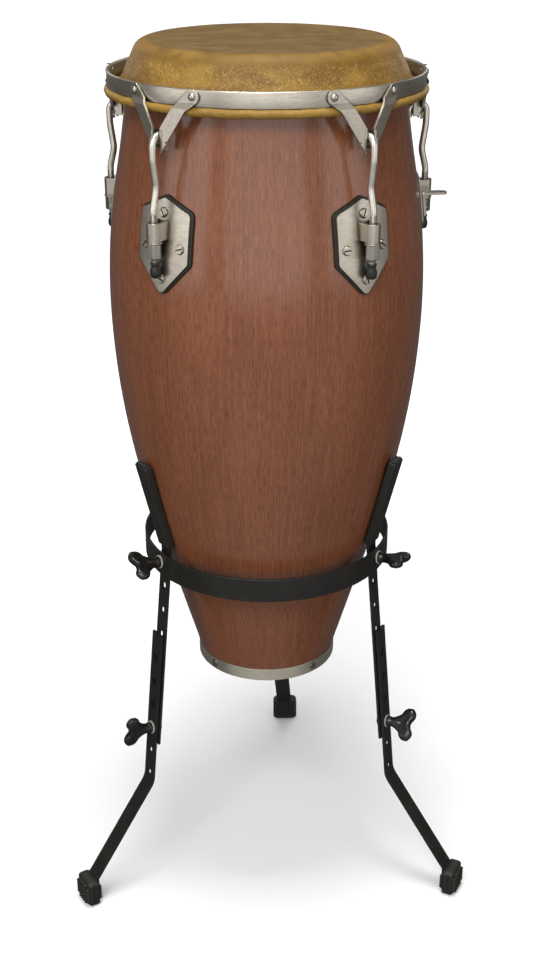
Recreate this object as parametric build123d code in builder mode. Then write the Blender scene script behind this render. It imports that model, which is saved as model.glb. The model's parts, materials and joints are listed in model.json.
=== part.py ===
from build123d import *
from math import asin, cos, degrees, radians, sin, tan
import os

os.makedirs("parts", exist_ok=True)

# A conga drum resting in a three-legged basket stand.
# Frame: +Z up, floor at Z = 0, drum axis on Z, player's side towards -Y.
# An azimuth is counted from -Y towards +X, in degrees.

# ---- driving dimensions (millimetres) --------------------------------------
# shell
SHELL_BOTTOM = 274.0
SHELL_TOP = 983.0
SHELL_WALL = 10.0
FOOT_RADIUS = 76.0
SKIRT_TOP = SHELL_BOTTOM + 150.0
SKIRT_RADIUS = 120.4
EDGE_ROUND = 12.5
EDGE_RADIUS = 129.6
# Above the straight skirt the staves bend in arcs that end at these radii and
# heights over the bottom: lower belly, widest point, upper belly, neck, edge.
STAVE_CURVE = [
    (150.4, 270.0),
    (168.5, 420.0),
    (156.6, 580.0),
    (145.8, 650.0),
    (EDGE_RADIUS, SHELL_TOP - SHELL_BOTTOM),
]

# head and rim
HIDE = 2.0
HEAD_SHOULDER = 15.0
HEAD_FLAT = 121.5
COLLAR_LEAN = 25.0
COLLAR_END = 947.0
RIM_BOTTOM = 940.5
RIM_HEIGHT = 16.0
RIM_OUTER = 163.0
RIM_THICK = 3.0
ROLL_RADIUS = 4.3
ROLL_CENTRE = (161.7, RIM_BOTTOM - ROLL_RADIUS)
FLESH_HOOP_RADIUS = 2.9

# lugs
LUG_COUNT = 5
LUG_TURN = -1.2
GASKET_THICK = 3.0
GASKET_LIP = 2.6
PLATE_THICK = 2.2
PLATE_HALF_WIDTH = 30.5
PLATE_TOP = 852.0
PLATE_SHOULDER = 838.0
PLATE_HIP = 790.0
PLATE_POINT = 757.0
PLATE_CORNER = 5.0
BOLT_SHANK = 3.0
BOLT_HOLE = 3.2
BOLT_HEAD = 5.0
BOLT_DOME = 2.2
SIDE_BOLT_HEIGHT = 804.0
TOP_BOLT_HEIGHT = 837.0
LOW_BOLT_HEIGHT = 773.0
SIDE_BOLT_OFFSET = 21.0

# tension rods
ROD_AXIS = 180.0
ROD_SHANK = 3.55
THREAD_RADIUS = 3.95
THREAD_TOP = 838.5
ROD_BOTTOM = 778.0
PIN_AXIS = (168.4, 906.0)
PIN_RADIUS = 2.75
HOOK_RADIUS = 10.0
HOOK_CENTRE = PIN_AXIS[1] + PIN_RADIUS + 0.1 - (HOOK_RADIUS - ROD_SHANK)
ROD_WAIST = (174.6, 863.0)
RECEIVER_BOTTOM = 813.0
RECEIVER_HEIGHT = 17.5
RECEIVER_OUTER = 7.5
RECEIVER_INNER = 4.7
WASHER_THICK = 2.6
NUT_ACROSS_FLATS = 13.0
NUT_HEIGHT = 14.5
NUT_TOP = RECEIVER_BOTTOM - WASHER_THICK - 0.3
NUT_BORE = 4.03

# yokes between the rim and the rods
YOKE_SPREAD = 12.4
YOKE_THICK = 2.5
YOKE_STEP = 3.8
EAR_RADIUS = 7.0
RIVET_HEIGHT = 950.0

# stand
STAND_TURN = 2.6
RING_OUTER = 141.5
RING_THICK = 3.0
RING_BOTTOM = 411.6
RING_HEIGHT = 27.2
BOLT_HEIGHT = 427.0
BAR_FACE = 135.6
BAR_LEAN = 5.4
BAR_WIDTH = 20.0
BAR_THICK = 3.0
HOLE_PITCH = 30.7
HOLE_SIZE = 8.2
LEG_BOLT = 7 * HOLE_PITCH
BAR_END = 235.5
ARM_LEAN = 14.2
ARM_LENGTH = 113.0
PAD_WIDTH = 23.0
LEG_GAP = 2.0
LEG_THICK = 3.0
LEG_TOP = 91.5
LEG_BEND = 287.0
LEG_SPLAY = 36.0
FOOT_SINK = 17.0
FOOT_WIDTH = 32.0
FOOT_DEPTH = 21.0
FOOT_HEIGHT = 33.0
REAR_SWIVEL = -5.2
KNOB_LENGTH = 33.0
KNOB_THICK = 10.0
STUD_RADIUS = 4.0
TURNING_FIT = 0.05
CLEARANCE = 0.3


def heading(azimuth):
    """Angle from +X of an azimuth counted from -Y."""
    return azimuth - 90.0


def save(part, name):
    """Label a finished piece and write its STEP file."""
    part.label = name
    export_step(part, f"parts/{name}.step")


# ---- shell -----------------------------------------------------------------
def shell_side(offset):
    """Half outline of the shell, moved outwards by offset, from foot to edge."""
    line = Line((FOOT_RADIUS + offset, SHELL_BOTTOM), (SKIRT_RADIUS + offset, SKIRT_TOP))
    for radius, rise in STAVE_CURVE:
        start = line @ 1
        line = TangentArc(start, (radius + offset, SHELL_BOTTOM + rise), tangent=line % 1)


def solid_of_side(offset):
    """Filled solid of revolution bounded by the shell's outline moved by offset."""
    with BuildPart() as body:
        with BuildSketch(Plane.XZ):
            with BuildLine():
                shell_side(offset)
                Polyline(
                    (EDGE_RADIUS + offset, SHELL_TOP),
                    (0, SHELL_TOP),
                    (0, SHELL_BOTTOM),
                    (FOOT_RADIUS + offset, SHELL_BOTTOM),
                )
            make_face()
        revolve(axis=Axis.Z)
    return body.part


with BuildLine(Plane.XZ) as outline:
    shell_side(0)
side_curve = outline.wire()


def on_side(height):
    """Radius and outward tilt (degrees) of the shell's surface at a height."""
    low, high = 0.0, 1.0
    for _ in range(40):
        middle = (low + high) / 2
        if side_curve.position_at(middle).Z < height:
            low = middle
        else:
            high = middle
    slope = side_curve.tangent_at(middle)
    return side_curve.position_at(middle).X, degrees(asin(-slope.X))


def surface_plane(height, lateral, lift=0.0):
    """Plane on the shell's surface, facing outwards, for a lug centred on +X."""
    radius, tilt = on_side(height)
    turn = asin(lateral / radius)
    outward = Vector(cos(radians(tilt)) * cos(turn), cos(radians(tilt)) * sin(turn), sin(radians(tilt)))
    foot = Vector(radius * cos(turn), radius * sin(turn), height)
    return Plane(origin=foot + outward * lift, x_dir=(-sin(turn), cos(turn), 0), z_dir=outward)


lug_azimuths = [LUG_TURN + 36.0 + 72.0 * k for k in range(LUG_COUNT)]
bolt_spots = [
    (TOP_BOLT_HEIGHT, 0.0),
    (LOW_BOLT_HEIGHT, 0.0),
    (SIDE_BOLT_HEIGHT, SIDE_BOLT_OFFSET),
    (SIDE_BOLT_HEIGHT, -SIDE_BOLT_OFFSET),
]
bolt_planes = [surface_plane(height, lateral) for height, lateral in bolt_spots]
lug_spins = [Plane.XY.rotated((0, 0, heading(a))) for a in lug_azimuths]


def around(spin, plane):
    """The same plane carried round the drum to another lug."""
    return Plane(spin.location * plane.location)


BAND_HEIGHT = 14.5
BAND_SEAT = 79.0
BAND_OUTER = 80.9
BAND_SCREW_HEIGHT = SHELL_BOTTOM + 7.5
BAND_SCREW_RADIUS = 2.0
band_screw_azimuths = [LUG_TURN - 2.0 + 45.0 + 90.0 * k for k in range(4)]
band_screw_planes = [
    Plane(
        origin=(
            BAND_OUTER * cos(radians(heading(a))),
            BAND_OUTER * sin(radians(heading(a))),
            BAND_SCREW_HEIGHT,
        ),
        z_dir=(cos(radians(heading(a))), sin(radians(heading(a))), 0),
    )
    for a in band_screw_azimuths
]
BAND_SCREW_DEPTH = 9.0

with BuildPart() as shell:
    add(solid_of_side(0))
    fillet(shell.faces().sort_by(Axis.Z)[-1].edges(), EDGE_ROUND)
    with BuildSketch(Plane.XY.offset(SHELL_BOTTOM)):
        Circle(BAND_OUTER + 10)
        Circle(BAND_SEAT, mode=Mode.SUBTRACT)
    extrude(amount=BAND_HEIGHT, mode=Mode.SUBTRACT)
    add(solid_of_side(-SHELL_WALL), mode=Mode.SUBTRACT)
    with Locations(*[around(spin, plane) for spin in lug_spins for plane in bolt_planes]):
        Cylinder(BOLT_HOLE, 3 * SHELL_WALL, mode=Mode.SUBTRACT)
    with Locations(*band_screw_planes):
        Cylinder(
            BAND_SCREW_RADIUS, BAND_SCREW_DEPTH,
            align=(Align.CENTER, Align.CENTER, Align.MAX), mode=Mode.SUBTRACT,
        )
save(shell.part, "shell")

with BuildPart() as bottom_band:
    with BuildSketch(Plane.XY.offset(SHELL_BOTTOM)):
        Circle(BAND_OUTER)
        Circle(BAND_SEAT, mode=Mode.SUBTRACT)
    extrude(amount=BAND_HEIGHT)
    for plane in band_screw_planes:
        with Locations(plane):
            Cylinder(BAND_SCREW_RADIUS, 3 * (BAND_OUTER - BAND_SEAT), mode=Mode.SUBTRACT)
save(bottom_band.part, "bottom_band")

with BuildPart() as bottom_band_screws:
    for plane in band_screw_planes:
        with BuildSketch(plane):
            Circle(2 * BAND_SCREW_RADIUS)
        extrude(amount=1.4)
        with BuildSketch(plane):
            Circle(BAND_SCREW_RADIUS)
        extrude(amount=-(BAND_SCREW_DEPTH - 1))
save(bottom_band_screws.part, "bottom_band_screws")

# ---- head ------------------------------------------------------------------
HEAD_TOP = SHELL_TOP + HIDE
SHOULDER_CENTRE = HEAD_TOP - HEAD_SHOULDER
lean = radians(COLLAR_LEAN)


def skin_point(radius):
    """Where the shoulder's arc of this radius runs out into the collar."""
    return (HEAD_FLAT + radius * cos(lean), SHOULDER_CENTRE + radius * sin(lean))


def collar_point(radius):
    """Lower end of the collar on the surface that starts at skin_point(radius)."""
    start = skin_point(radius)
    return (start[0] + (start[1] - COLLAR_END) * tan(lean), COLLAR_END)


with BuildPart() as head_skin:
    with BuildSketch(Plane.XZ):
        with BuildLine():
            inner = HEAD_SHOULDER - HIDE
            Line((0, SHELL_TOP), (0, HEAD_TOP))
            Line((0, HEAD_TOP), (HEAD_FLAT, HEAD_TOP))
            CenterArc((HEAD_FLAT, SHOULDER_CENTRE), HEAD_SHOULDER, COLLAR_LEAN, 90 - COLLAR_LEAN)
            Line(skin_point(HEAD_SHOULDER), collar_point(HEAD_SHOULDER))
            Line(collar_point(HEAD_SHOULDER), collar_point(inner))
            Line(collar_point(inner), skin_point(inner))
            CenterArc((HEAD_FLAT, SHOULDER_CENTRE), inner, COLLAR_LEAN, 90 - COLLAR_LEAN)
            Line((HEAD_FLAT, SHELL_TOP), (0, SHELL_TOP))
        make_face()
    revolve(axis=Axis.Z)
save(head_skin.part, "head_skin")

with BuildPart() as flesh_hoop:
    with BuildSketch(Plane.XZ):
        with Locations(ROLL_CENTRE):
            Circle(FLESH_HOOP_RADIUS)
    revolve(axis=Axis.Z)
save(flesh_hoop.part, "flesh_hoop")

with BuildPart() as tucked_hide:
    with BuildSketch(Plane.XZ):
        with Locations(ROLL_CENTRE):
            Circle(ROLL_RADIUS)
            Circle(FLESH_HOOP_RADIUS, mode=Mode.SUBTRACT)
    revolve(axis=Axis.Z)
save(tucked_hide.part, "tucked_hide")

# ---- rim band and yokes ----------------------------------------------------
RIVET_SHANK = 2.2
RIVET_HEAD = 3.5
RIVET_DOME = 2.2
rivet_azimuths = [a + side * YOKE_SPREAD for a in lug_azimuths for side in (-1, 1)]


def radial_plane(azimuth, radius, height):
    """Plane facing outwards at a radius and height, upright, at an azimuth."""
    turn = radians(heading(azimuth))
    return Plane(
        origin=(radius * cos(turn), radius * sin(turn), height),
        x_dir=(-sin(turn), cos(turn), 0),
        z_dir=(cos(turn), sin(turn), 0),
    )


with BuildPart() as rim_band:
    with BuildSketch(Plane.XY.offset(RIM_BOTTOM)):
        Circle(RIM_OUTER)
        Circle(RIM_OUTER - RIM_THICK, mode=Mode.SUBTRACT)
    extrude(amount=RIM_HEIGHT)
    chamfer(rim_band.edges().filter_by(GeomType.CIRCLE), 0.5)
    for azimuth in rivet_azimuths:
        with BuildSketch(radial_plane(azimuth, RIM_OUTER - 3 * RIM_THICK, RIVET_HEIGHT)):
            Circle(RIVET_SHANK)
        extrude(amount=5 * RIM_THICK, mode=Mode.SUBTRACT)
save(rim_band.part, "rim_band")

RIVET_LENGTH = RIM_THICK + YOKE_THICK
with BuildPart() as yoke_rivets:
    for azimuth in rivet_azimuths:
        with BuildSketch(radial_plane(azimuth, RIM_OUTER - RIM_THICK, RIVET_HEIGHT)):
            Circle(RIVET_SHANK)
        extrude(amount=RIVET_LENGTH + 0.5)
        with BuildSketch(radial_plane(azimuth, RIM_OUTER + YOKE_THICK, RIVET_HEIGHT)):
            Circle(RIVET_HEAD)
        extrude(amount=RIVET_DOME, taper=25)
        with BuildSketch(radial_plane(azimuth, RIM_OUTER - RIM_THICK - 1.2, RIVET_HEIGHT)):
            Circle(RIVET_HEAD)
        extrude(amount=1.15)
        with BuildSketch(radial_plane(azimuth, RIM_OUTER - RIM_THICK - 0.1, RIVET_HEIGHT)):
            Circle(RIVET_SHANK)
        extrude(amount=0.3)
save(yoke_rivets.part, "yoke_rivets")

# One half yoke, seen along its rivet: across is measured from the rivet
# towards the lug's centre line, heights are above the floor.
STRAP_INNER_EDGE = 32.8
STRAP_TIP = 895.5
FLANGE_GAP = 4.3
FLANGE_INNER = 161.0
FLANGE_OUTER = 172.4
FLANGE_BOTTOM = 899.0
FLANGE_TOP = 918.0


def half_yoke(side):
    """Half yoke for a lug on +X; side is +1 or -1 along Y."""
    upright = Plane.XY.rotated((0, 0, side * YOKE_SPREAD))
    turn = radians(side * YOKE_SPREAD)
    front = Plane(origin=(0, 0, 0), x_dir=(-sin(turn), cos(turn), 0), z_dir=(cos(turn), sin(turn), 0))
    profile = Plane(origin=(0, 0, 0), x_dir=upright.x_dir, z_dir=-upright.y_dir)
    back_of_ear = RIM_OUTER
    back_of_strap = RIM_OUTER + YOKE_STEP
    with BuildPart() as half:
        with BuildSketch(profile):
            with BuildLine():
                Polyline(
                    (back_of_ear, RIVET_HEIGHT + EAR_RADIUS),
                    (back_of_ear + YOKE_THICK, RIVET_HEIGHT + EAR_RADIUS),
                    (back_of_ear + YOKE_THICK, 944.6),
                    (back_of_strap + YOKE_THICK, 939.1),
                    (back_of_strap + YOKE_THICK, STRAP_TIP),
                    (back_of_strap, STRAP_TIP),
                    (back_of_strap, 939.9),
                    (back_of_ear, 945.4),
                    close=True,
                )
            make_face()
        extrude(amount=50, both=True)
        with BuildSketch(front):
            with Locations((0, RIVET_HEIGHT)):
                Circle(EAR_RADIUS)
            with BuildLine():
                Polyline(
                    (side * 5.0, 945.1),
                    (side * -4.5, 955.4),
                    (side * -19.4, 940.0),
                    (side * -STRAP_INNER_EDGE, 919.6),
                    (side * -STRAP_INNER_EDGE, STRAP_TIP),
                    (side * -6.2, 936.3),
                    close=True,
                )
            make_face()
            with Locations((0, RIVET_HEIGHT)):
                Circle(RIVET_SHANK, mode=Mode.SUBTRACT)
        extrude(amount=RIM_OUTER + 20, mode=Mode.INTERSECT)
        with BuildSketch(Plane.XY.offset(FLANGE_BOTTOM)):
            with Locations(((FLANGE_INNER + FLANGE_OUTER) / 2, side * (FLANGE_GAP + YOKE_THICK / 2))):
                Rectangle(FLANGE_OUTER - FLANGE_INNER, YOKE_THICK)
        extrude(amount=FLANGE_TOP - FLANGE_BOTTOM)
        with BuildSketch(Plane.XZ):
            with Locations(PIN_AXIS):
                Circle(PIN_RADIUS)
        extrude(amount=20, both=True, mode=Mode.SUBTRACT)
    return half.part


yoke_halves = [half_yoke(1), half_yoke(-1)]
with BuildPart() as rim_yokes:
    for azimuth in lug_azimuths:
        for half in yoke_halves:
            add(half, rotation=(0, 0, heading(azimuth)))
save(rim_yokes.part, "rim_yokes")

with BuildPart() as hook_pins:
    for azimuth in lug_azimuths:
        turn = radians(heading(azimuth))
        sideways = Plane(
            origin=(PIN_AXIS[0] * cos(turn), PIN_AXIS[0] * sin(turn), PIN_AXIS[1]),
            z_dir=(-sin(turn), cos(turn), 0),
        )
        with BuildSketch(sideways):
            Circle(PIN_RADIUS)
        extrude(amount=FLANGE_GAP + YOKE_THICK, both=True)
save(hook_pins.part, "hook_pins")

# ---- tension rods, nuts and tips --------------------------------------------
HOOK_TAIL = 5.0
HOOK_DROP = 13.0
ROD_LEAD = 4.5
ROD_BEND = 24.0
with BuildPart() as rod_master:
    with BuildLine(Plane.XZ) as rod_path:
        back = PIN_AXIS[0] - HOOK_RADIUS
        front = PIN_AXIS[0] + HOOK_RADIUS
        Line((back, HOOK_CENTRE - HOOK_TAIL), (back, HOOK_CENTRE))
        ThreePointArc(
            (back, HOOK_CENTRE), (PIN_AXIS[0], HOOK_CENTRE + HOOK_RADIUS), (front, HOOK_CENTRE)
        )
        FilletPolyline(
            (front, HOOK_CENTRE),
            (front, HOOK_CENTRE - HOOK_DROP),
            ROD_WAIST,
            (ROD_AXIS, THREAD_TOP + ROD_LEAD),
            (ROD_AXIS, ROD_BOTTOM + 1),
            radius=ROD_BEND,
        )
    with BuildSketch(Plane(origin=(back, 0, HOOK_CENTRE - HOOK_TAIL), z_dir=(0, 0, 1))):
        Circle(ROD_SHANK)
    sweep(path=rod_path.wire())
    with BuildSketch(Plane(origin=(ROD_AXIS, 0, ROD_BOTTOM))):
        Circle(THREAD_RADIUS)
    extrude(amount=THREAD_TOP - ROD_BOTTOM)
    chamfer(rod_master.faces().sort_by(Axis.Z)[0].edges(), 0.7)

with BuildPart() as nut_master:
    with BuildSketch(Plane(origin=(ROD_AXIS, 0, NUT_TOP - NUT_HEIGHT))):
        RegularPolygon(NUT_ACROSS_FLATS / 2, 6, major_radius=False)
        Circle(NUT_BORE, mode=Mode.SUBTRACT)
    extrude(amount=NUT_HEIGHT)
    with BuildSketch(Plane.XZ):
        with BuildLine():
            Polyline(
                (ROD_AXIS + 6.4, NUT_TOP - NUT_HEIGHT),
                (ROD_AXIS + 8.4, NUT_TOP - NUT_HEIGHT + 1.1),
                (ROD_AXIS + 8.4, NUT_TOP - 1.1),
                (ROD_AXIS + 6.4, NUT_TOP),
                (ROD_AXIS, NUT_TOP),
                (ROD_AXIS, NUT_TOP - NUT_HEIGHT),
                close=True,
            )
        make_face()
    revolve(axis=Axis((ROD_AXIS, 0, 0), (0, 0, 1)), mode=Mode.INTERSECT)

for number, azimuth in enumerate(lug_azimuths, start=1):
    with BuildPart() as tension_rod:
        add(rod_master.part, rotation=(0, 0, heading(azimuth)))
    save(tension_rod.part, f"tension_rod_{number}")
    with BuildPart() as tuning_nut:
        add(nut_master.part, rotation=(0, 0, heading(azimuth)))
    save(tuning_nut.part, f"tuning_nut_{number}")

TIP_TOP = 791.5
TIP_BOTTOM = 775.5
TIP_RADIUS = 4.75
TIP_NECK = 4.4
with BuildPart() as tip_master:
    with BuildSketch(Plane.XZ):
        with BuildLine():
            Polyline(
                (ROD_AXIS, TIP_BOTTOM),
                (ROD_AXIS + TIP_RADIUS - 1.7, TIP_BOTTOM),
                (ROD_AXIS + TIP_RADIUS, TIP_BOTTOM + 2.2),
                (ROD_AXIS + TIP_RADIUS, TIP_BOTTOM + 10.0),
                (ROD_AXIS + TIP_NECK, TIP_BOTTOM + 12.5),
                (ROD_AXIS + TIP_NECK, TIP_TOP),
                (ROD_AXIS + THREAD_RADIUS, TIP_TOP),
                (ROD_AXIS + THREAD_RADIUS, ROD_BOTTOM),
                (ROD_AXIS, ROD_BOTTOM),
                close=True,
            )
        make_face()
    revolve(axis=Axis((ROD_AXIS, 0, 0), (0, 0, 1)))
with BuildPart() as rod_tips:
    for azimuth in lug_azimuths:
        add(tip_master.part, rotation=(0, 0, heading(azimuth)))
save(rod_tips.part, "rod_tips")

with BuildPart() as receiver_washers:
    for azimuth in lug_azimuths:
        turn = radians(heading(azimuth))
        below = Plane(origin=(ROD_AXIS * cos(turn), ROD_AXIS * sin(turn), RECEIVER_BOTTOM - WASHER_THICK))
        with BuildSketch(below):
            Circle(8.2)
            Circle(NUT_BORE + 0.5, mode=Mode.SUBTRACT)
        extrude(amount=1.2)
        with BuildSketch(below.offset(1.2)):
            Circle(7.4)
            Circle(NUT_BORE + 0.5, mode=Mode.SUBTRACT)
        extrude(amount=WASHER_THICK - 1.2)
save(receiver_washers.part, "receiver_washers")


# ---- lug plates, gaskets and bolts -------------------------------------------
def lug_prism(grow, corner):
    """Hexagonal prism along +X, wider than the lug plate by grow all round."""
    half = PLATE_HALF_WIDTH + grow
    with BuildPart() as prism:
        with BuildSketch(Plane.YZ.offset(140)):
            with BuildLine():
                Polyline(
                    (0, PLATE_TOP + grow),
                    (half, PLATE_SHOULDER + grow / 2),
                    (half, PLATE_HIP - grow / 2),
                    (0, PLATE_POINT - grow),
                    (-half, PLATE_HIP - grow / 2),
                    (-half, PLATE_SHOULDER + grow / 2),
                    close=True,
                )
            make_face()
            fillet(vertices(), corner)
        extrude(amount=50)
    return prism.part


wood_solid = solid_of_side(0)
gasket_solid = solid_of_side(GASKET_THICK)
plate_solid = solid_of_side(GASKET_THICK + PLATE_THICK)

with BuildPart() as gasket_master:
    add(lug_prism(GASKET_LIP, PLATE_CORNER + GASKET_LIP))
    add(gasket_solid, mode=Mode.INTERSECT)
    add(wood_solid, mode=Mode.SUBTRACT)
    with Locations(*bolt_planes):
        Cylinder(BOLT_HOLE, 4 * SHELL_WALL, mode=Mode.SUBTRACT)

with BuildPart() as strap_master:
    with BuildSketch(Plane.XY.offset(RECEIVER_BOTTOM)):
        with Locations((ROD_AXIS, 0)):
            Circle(RECEIVER_OUTER)
        with Locations((ROD_AXIS, 0)):
            Rectangle(30, 2 * RECEIVER_OUTER, align=(Align.MAX, Align.CENTER))
        with Locations((ROD_AXIS, 0)):
            Circle(RECEIVER_INNER, mode=Mode.SUBTRACT)
            Rectangle(30, 2 * RECEIVER_INNER, align=(Align.MAX, Align.CENTER), mode=Mode.SUBTRACT)
    extrude(amount=RECEIVER_HEIGHT)
    add(solid_of_side(GASKET_THICK + PLATE_THICK / 2), mode=Mode.SUBTRACT)

with BuildPart() as plate_master:
    add(lug_prism(0, PLATE_CORNER))
    add(plate_solid, mode=Mode.INTERSECT)
    add(gasket_solid, mode=Mode.SUBTRACT)
    add(strap_master.part)
    with Locations(*bolt_planes):
        Cylinder(BOLT_HOLE, 4 * SHELL_WALL, mode=Mode.SUBTRACT)

with BuildPart() as lug_gaskets:
    for azimuth in lug_azimuths:
        add(gasket_master.part, rotation=(0, 0, heading(azimuth)))
save(lug_gaskets.part, "lug_gaskets")
for number, azimuth in enumerate(lug_azimuths, start=1):
    with BuildPart() as lug_plate:
        add(plate_master.part, rotation=(0, 0, heading(azimuth)))
    save(lug_plate.part, f"lug_plate_{number}")

# The bracket stands on the second plate, under the side bolt nearer the front.
BRACKET_LUG = 1
BRACKET_SPOT = 3
BRACKET_THICK = 2.5
ARM_WIDTH = 12.0
EYE_RADIUS = 3.5
EYE_REACH = 21.0
EYE_RISE = 14.0
SEAT = GASKET_THICK + PLATE_THICK + 0.2
BRACKET_LIFT = 0.6
bracket_seat = surface_plane(SIDE_BOLT_HEIGHT, -SIDE_BOLT_OFFSET, SEAT + BRACKET_LIFT)
bracket_out = bracket_seat.z_dir
flat = Plane(origin=bracket_seat.origin, x_dir=(bracket_out.X, bracket_out.Y, 0), z_dir=(0, 0, 1))
with BuildPart() as bracket_master:
    with BuildSketch(bracket_seat):
        with Locations((0, EYE_RISE / 2 - 3)):
            RectangleRounded(ARM_WIDTH + 3, EYE_RISE + 13, 2)
    extrude(amount=BRACKET_THICK)
    with BuildSketch(flat.offset(EYE_RISE)):
        with Locations((0.5, 0)):
            Rectangle(EYE_REACH - 0.5, ARM_WIDTH, align=(Align.MIN, Align.CENTER))
        with Locations((EYE_REACH, 0)):
            Circle(ARM_WIDTH / 2)
            Circle(EYE_RADIUS, mode=Mode.SUBTRACT)
    extrude(amount=BRACKET_THICK)
    with Locations(bracket_seat):
        Cylinder(BOLT_SHANK, 20, mode=Mode.SUBTRACT)
with BuildPart() as accessory_bracket:
    add(bracket_master.part, rotation=(0, 0, heading(lug_azimuths[BRACKET_LUG])))
save(accessory_bracket.part, "accessory_bracket")

SLOT_WIDTH = 1.3
SLOT_DEPTH = 1.2
with BuildPart() as lug_bolts:
    for lug, spin in enumerate(lug_spins):
        for spot, plane in enumerate(bolt_planes):
            under_bracket = lug == BRACKET_LUG and spot == BRACKET_SPOT
            lift = SEAT + (BRACKET_LIFT + BRACKET_THICK if under_bracket else 0)
            seat = around(spin, plane.offset(lift))
            with BuildSketch(seat):
                Circle(BOLT_HEAD)
            extrude(amount=BOLT_DOME, taper=24)
            with BuildSketch(seat.offset(BOLT_DOME - SLOT_DEPTH)):
                Rectangle(2 * BOLT_HEAD, SLOT_WIDTH, rotation=70 + 37 * (4 * lug + spot))
            extrude(amount=SLOT_DEPTH + 1, mode=Mode.SUBTRACT)
            with BuildSketch(seat):
                Circle(BOLT_SHANK)
            extrude(amount=-(lift + SHELL_WALL + 5.5))
save(lug_bolts.part, "lug_bolts")

NUT_STANDOFF = 0.4
with BuildPart() as lug_bolt_nuts:
    for spin in lug_spins:
        for plane in bolt_planes:
            seat = around(spin, plane.offset(-SHELL_WALL - NUT_STANDOFF))
            with BuildSketch(seat):
                Circle(7.0)
                Circle(BOLT_SHANK, mode=Mode.SUBTRACT)
            extrude(amount=-1.2)
            with BuildSketch(seat.offset(-1.2)):
                RegularPolygon(5.0, 6, major_radius=False, rotation=15)
                Circle(BOLT_SHANK, mode=Mode.SUBTRACT)
            extrude(amount=-4.2)
save(lug_bolt_nuts.part, "lug_bolt_nuts")


# ---- stand -------------------------------------------------------------------
leg_azimuths = {"left": STAND_TURN - 60.0, "right": STAND_TURN + 60.0, "rear": STAND_TURN + 180.0}
leg_swivels = {"left": 0.0, "right": 0.0, "rear": REAR_SWIVEL}
tilt = radians(BAR_LEAN)


def spun(plane, angle):
    """The same plane turned about its own normal."""
    return Plane(plane.location * Rotation(0, 0, angle))


def leg_plane(azimuth, swivel):
    """Plane on the upper bar's outer face at its ring bolt.

    Its x runs sideways, its y up along the bar and its z out along the bolt.
    """
    turn = radians(heading(azimuth))
    plane = Plane(
        origin=(BAR_FACE * cos(turn), BAR_FACE * sin(turn), BOLT_HEIGHT),
        x_dir=(-sin(turn), cos(turn), 0),
        z_dir=(cos(tilt) * cos(turn), cos(tilt) * sin(turn), sin(tilt)),
    )
    return spun(plane, swivel)


def side_of(plane):
    """Side view of a leg: x runs up along the bar, y out along the bolt."""
    return Plane(origin=plane.origin, x_dir=plane.y_dir, z_dir=plane.x_dir)


# Distances along a ring bolt, from the bar's outer face.
RING_INSIDE = (RING_OUTER - RING_THICK - BAR_FACE) / cos(tilt)
RING_OUTSIDE = (RING_OUTER - BAR_FACE) / cos(tilt)
RING_WASHER = RING_OUTSIDE + 0.85
NYLON_THICK = 1.2
NYLON_RADIUS = 7.6
BOSS_RADIUS = 9.0

with BuildPart() as stand_ring:
    with BuildSketch(Plane.XY.offset(RING_BOTTOM)):
        Circle(RING_OUTER)
        Circle(RING_OUTER - RING_THICK, mode=Mode.SUBTRACT)
    extrude(amount=RING_HEIGHT)
    chamfer(stand_ring.edges().filter_by(GeomType.CIRCLE), 0.5)
    for azimuth in leg_azimuths.values():
        plane = leg_plane(azimuth, 0)
        with BuildSketch(plane.offset(CLEARANCE)):
            Circle(BOSS_RADIUS)
        extrude(amount=RING_INSIDE + 1)
        with BuildSketch(plane.offset(-1)):
            Circle(STUD_RADIUS + TURNING_FIT)
        extrude(amount=20, mode=Mode.SUBTRACT)
save(stand_ring.part, "stand_ring")

with BuildPart() as ring_washers:
    for azimuth in leg_azimuths.values():
        with BuildSketch(leg_plane(azimuth, 0).offset(RING_WASHER)):
            Circle(NYLON_RADIUS)
            Circle(STUD_RADIUS + TURNING_FIT, mode=Mode.SUBTRACT)
        extrude(amount=NYLON_THICK)
save(ring_washers.part, "ring_washers")

HUB_RADIUS = 6.0
LOBE_RADIUS = 8.2
LOBE_OFFSET = 11.5
LOBE_REACH = KNOB_LENGTH - LOBE_RADIUS


def wing_knob(plane, start, spin):
    """Two-lobed plastic wing knob on a bolt, starting start along plane's z."""
    base = spun(plane, spin).offset(start)
    blade = Plane(origin=base.origin, x_dir=base.x_dir, z_dir=-base.y_dir)
    with BuildPart() as knob:
        with BuildSketch(blade):
            with Locations((-LOBE_OFFSET, LOBE_REACH), (LOBE_OFFSET, LOBE_REACH)):
                Circle(LOBE_RADIUS)
            with BuildLine():
                Polyline(
                    (-HUB_RADIUS, 4),
                    (HUB_RADIUS, 4),
                    (LOBE_OFFSET + LOBE_RADIUS * 0.93, LOBE_REACH - LOBE_RADIUS * 0.37),
                    (LOBE_OFFSET, LOBE_REACH + LOBE_RADIUS * 0.55),
                    (-LOBE_OFFSET, LOBE_REACH + LOBE_RADIUS * 0.55),
                    (-LOBE_OFFSET - LOBE_RADIUS * 0.93, LOBE_REACH - LOBE_RADIUS * 0.37),
                    close=True,
                )
            make_face()
            with Locations((0, KNOB_LENGTH + 4.5)):
                Circle(9.0, mode=Mode.SUBTRACT)
        extrude(amount=KNOB_THICK / 2, both=True)
        with BuildSketch(base):
            Circle(HUB_RADIUS)
        extrude(amount=12)
        with BuildSketch(base):
            Circle(STUD_RADIUS + TURNING_FIT)
        extrude(amount=19, mode=Mode.SUBTRACT)
    return knob.part


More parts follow.
